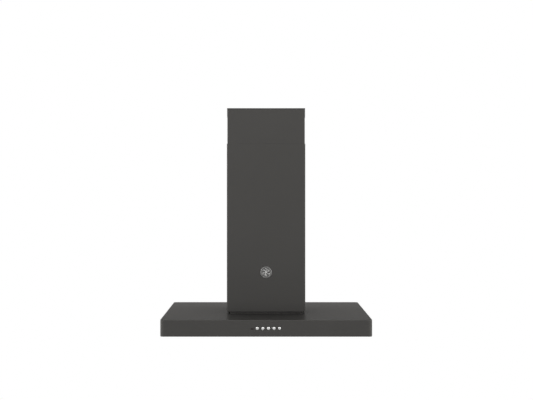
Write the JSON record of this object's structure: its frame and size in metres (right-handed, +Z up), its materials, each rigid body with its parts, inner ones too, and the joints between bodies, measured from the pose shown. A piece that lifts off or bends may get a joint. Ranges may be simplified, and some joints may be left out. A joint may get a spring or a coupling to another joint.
{
  "type": "island range hood",
  "caption": "Ceiling-hung range hood: flat box canopy with push buttons, telescoping rectangular chimney, centrifugal blower, tilting baffle filters and corner lamps.",
  "frame": {"origin": "centre of the ceiling plate's upper face, on the ceiling plane", "axes": "+Z up into the ceiling, -Y towards the user at the control side, +X to the user's right"},
  "size_m": [0.9, 0.703, 0.984],
  "materials": {
    "graphite_paint": "satin carbon-grey coating",
    "dark_steel": "satin black",
    "zinc_steel": "zinc-plated sheet",
    "fastener": "zinc-plated, bright",
    "dark_fastener": "coated to match the covers",
    "magnet": "nickel-plated",
    "grey_plastic": "moulded, fine texture",
    "black_plastic": "moulded, fine texture",
    "white_plastic": "moulded, smooth",
    "motor_case": "grey enamel",
    "gland_rubber": "black",
    "circuit_board": "solder-resist green",
    "smoked_lens": "dark smoked",
    "lamp_aluminium": "die-cast",
    "lamp_glass": "frosted",
    "filter_steel": "brushed",
    "cable_sheath": "matt sheath",
    "badge_metal": "satin nickel",
    "wheel_aluminium": "rolled sheet",
    "button_chrome": "polished"
  },
  "bodies": {
    "ceiling_mount": {"ceiling_plate": "dark_steel", "upper_posts": "zinc_steel", "upper_brace": "zinc_steel", "upper_post_bolts": "fastener", "upper_cover_front": "graphite_paint", "upper_cover_rear": "graphite_paint", "upper_cover_screws": "dark_fastener"},
    "hood": {"lower_posts": "zinc_steel", "lower_brace": "zinc_steel", "frame_clamp_bolts": "fastener", "post_foot_bolts": "fastener", "canopy_shell": "graphite_paint", "chimney_collar": "dark_steel", "underside_panel": "graphite_paint", "panel_screws": "fastener", "filter_rails": "zinc_steel", "filter_magnets": "magnet", "motor_box": "zinc_steel", "motor_box_bolts": "fastener", "scroll_left": "grey_plastic", "scroll_right": "grey_plastic", "inlet_rings": "black_plastic", "blower_bolts": "fastener", "motor": "motor_case", "motor_bracket": "zinc_steel", "capacitor": "white_plastic", "outlet_spigot": "black_plastic", "damper_rod": "fastener", "junction_box": "black_plastic", "junction_box_lid": "black_plastic", "cable_gland": "gland_rubber", "terminal_block": "white_plastic", "control_box": "black_plastic", "button_guide": "black_plastic", "switch_board": "circuit_board", "indicator_lens": "smoked_lens", "led_driver": "white_plastic", "lamp_housings": "lamp_aluminium", "lamp_lenses": "lamp_glass", "lamp_bezels": "filter_steel", "wiring": "cable_sheath"},
    "lower_cover": {"lower_cover_front": "graphite_paint", "lower_cover_rear": "graphite_paint", "lower_cover_screws": "dark_fastener", "badge": "badge_metal"},
    "impeller": {"impeller_wheel": "wheel_aluminium", "rotor_shaft": "fastener"},
    "damper_front": {"damper_flap_front": "grey_plastic"},
    "damper_rear": {"damper_flap_rear": "grey_plastic"},
    "left_filter": {"left_filter_frame": "filter_steel", "left_filter_baffles": "filter_steel", "left_filter_handle": "filter_steel"},
    "right_filter": {"right_filter_frame": "filter_steel", "right_filter_baffles": "filter_steel", "right_filter_handle": "filter_steel"},
    "off_button": {"button_off": "button_chrome"},
    "low_button": {"button_low": "button_chrome"},
    "medium_button": {"button_medium": "button_chrome"},
    "high_button": {"button_high": "button_chrome"},
    "light_button": {"button_light": "button_chrome"}
  },
  "joints": [
    {"name": "height_adjust", "type": "slide", "parent": "ceiling_mount", "child": "hood", "axis": [0, 0, 1], "range_m": [-0.24, 0.055]},
    {"name": "lower_cover_lift", "type": "slide", "parent": "hood", "child": "lower_cover", "axis": [0, 0, 1], "range_m": [0, 0.06]},
    {"name": "impeller_spin", "type": "hinge", "parent": "hood", "child": "impeller", "pos_m": [0, -0.008, -0.8], "axis": [1, 0, 0], "continuous": true},
    {"name": "damper_front_swing", "type": "hinge", "parent": "hood", "child": "damper_front", "pos_m": [0, 0.032, -0.568], "axis": [-1, 0, 0], "range_deg": [0, 75]},
    {"name": "damper_rear_swing", "type": "hinge", "parent": "hood", "child": "damper_rear", "pos_m": [0, 0.032, -0.568], "axis": [1, 0, 0], "range_deg": [0, 75]},
    {"name": "left_filter_tilt", "type": "hinge", "parent": "hood", "child": "left_filter", "pos_m": [-0.172, 0.211, -0.9655], "axis": [1, 0, 0], "range_deg": [0, 60]},
    {"name": "right_filter_tilt", "type": "hinge", "parent": "hood", "child": "right_filter", "pos_m": [0.172, 0.211, -0.9655], "axis": [1, 0, 0], "range_deg": [0, 60]},
    {"name": "off_button_press", "type": "slide", "parent": "hood", "child": "off_button", "axis": [0, 1, 0], "range_m": [0, 0.0025], "stiffness_N_per_m": 300},
    {"name": "low_button_press", "type": "slide", "parent": "hood", "child": "low_button", "axis": [0, 1, 0], "range_m": [0, 0.0025], "stiffness_N_per_m": 300},
    {"name": "medium_button_press", "type": "slide", "parent": "hood", "child": "medium_button", "axis": [0, 1, 0], "range_m": [0, 0.0025], "stiffness_N_per_m": 300},
    {"name": "high_button_press", "type": "slide", "parent": "hood", "child": "high_button", "axis": [0, 1, 0], "range_m": [0, 0.0025], "stiffness_N_per_m": 300},
    {"name": "light_button_press", "type": "slide", "parent": "hood", "child": "light_button", "axis": [0, 1, 0], "range_m": [0, 0.0025], "stiffness_N_per_m": 300}
  ]
}
